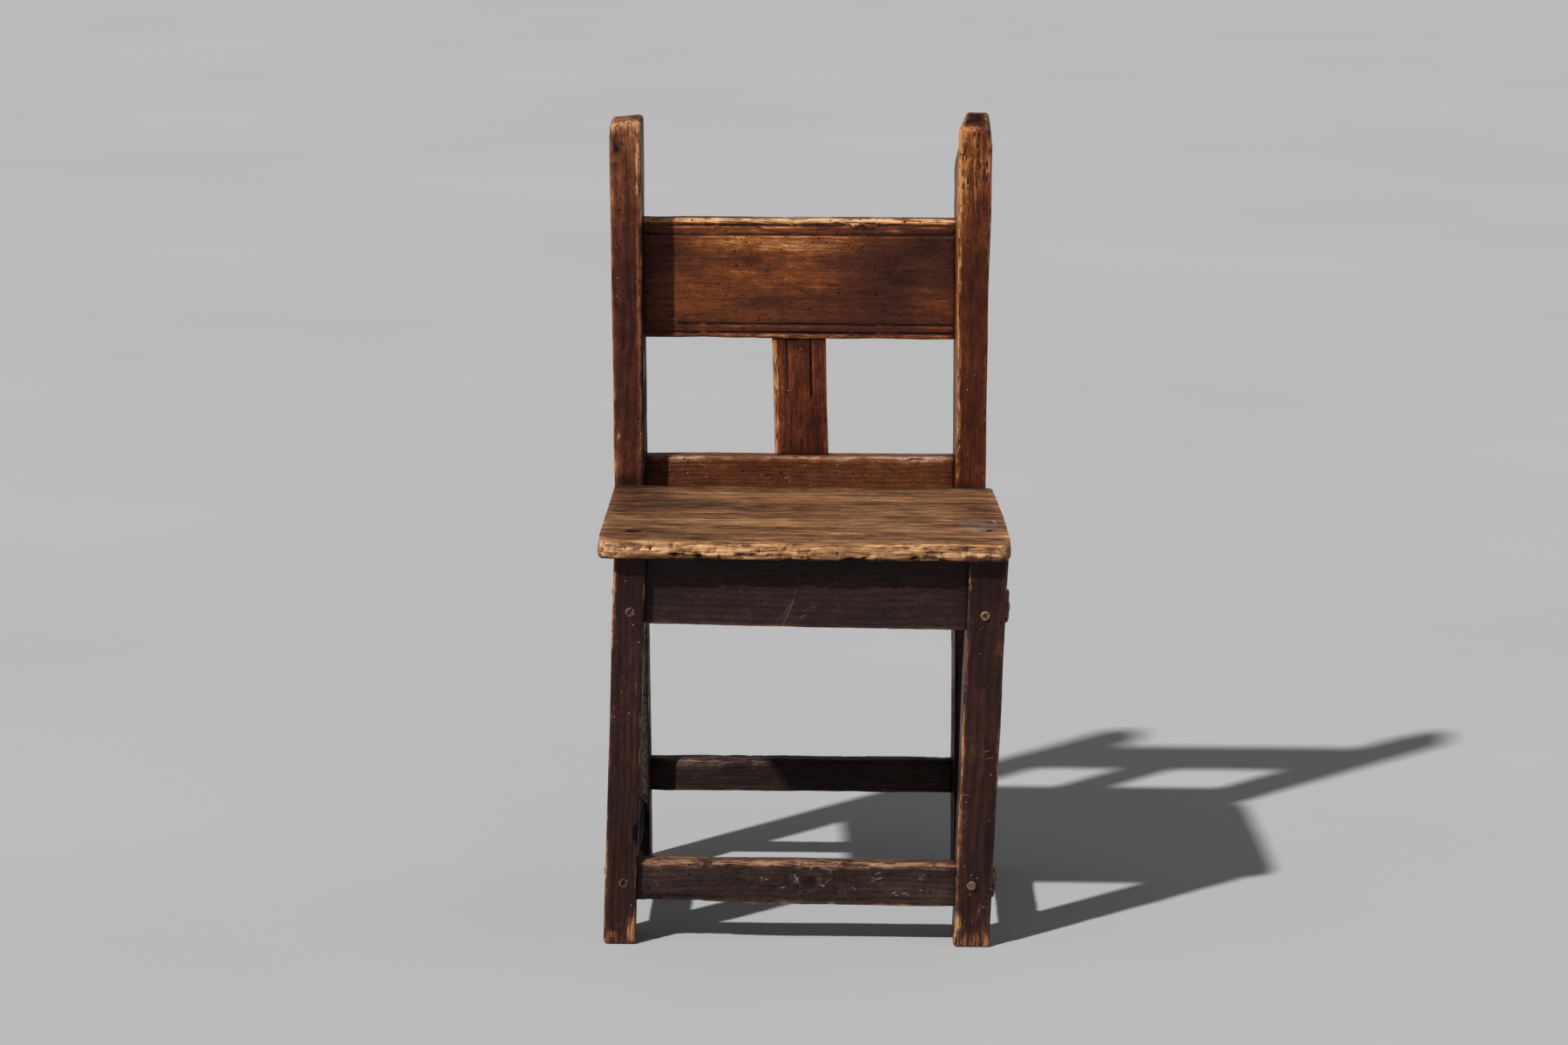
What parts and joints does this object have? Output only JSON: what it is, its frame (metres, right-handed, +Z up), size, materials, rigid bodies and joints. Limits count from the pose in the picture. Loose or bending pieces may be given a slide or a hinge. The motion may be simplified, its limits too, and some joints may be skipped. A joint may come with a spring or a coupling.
{
  "type": "child's chair",
  "caption": "Rustic joined wooden chair for a child: plank seat, tall rear posts, wide crest board over a narrow splat, low stretchers and pegged joints.",
  "frame": {"origin": "on the floor under the middle of the bounding box", "axes": "+Z up, -Y towards the front of the seat, +X to the right of someone facing the front"},
  "size_m": [0.3222, 0.3237, 0.6226],
  "materials": {
    "frame_wood": "old dark waxed patina, worn to golden brown on the arrises",
    "seat_wood": "dry worn patina, rubbed pale at the front edge",
    "peg_wood": "riven pegs, paler end grain",
    "nail_iron": "dark rusted iron"
  },
  "bodies": {
    "root": {"front_leg_left": "frame_wood", "front_leg_right": "frame_wood", "rear_post_left": "frame_wood", "rear_post_right": "frame_wood", "crest_rail": "frame_wood", "back_splat": "frame_wood", "lower_back_rail": "frame_wood", "front_seat_rail": "frame_wood", "rear_seat_rail": "frame_wood", "side_seat_rail_left": "frame_wood", "side_seat_rail_right": "frame_wood", "front_stretcher": "frame_wood", "rear_stretcher": "frame_wood", "side_stretcher_left": "frame_wood", "side_stretcher_right": "frame_wood", "seat_board": "seat_wood", "front_rail_peg_left": "peg_wood", "front_rail_peg_right": "peg_wood", "front_stretcher_peg_left": "peg_wood", "front_stretcher_peg_right": "peg_wood", "side_seat_rail_peg_left_front": "peg_wood", "side_seat_rail_peg_left_rear": "peg_wood", "side_seat_rail_peg_right_front": "peg_wood", "side_seat_rail_peg_right_rear": "peg_wood", "side_stretcher_peg_left_front": "peg_wood", "side_stretcher_peg_left_rear": "peg_wood", "side_stretcher_peg_right_front": "peg_wood", "side_stretcher_peg_right_rear": "peg_wood", "seat_nail_left": "nail_iron", "seat_nail_right": "nail_iron"}
  },
  "joints": []
}
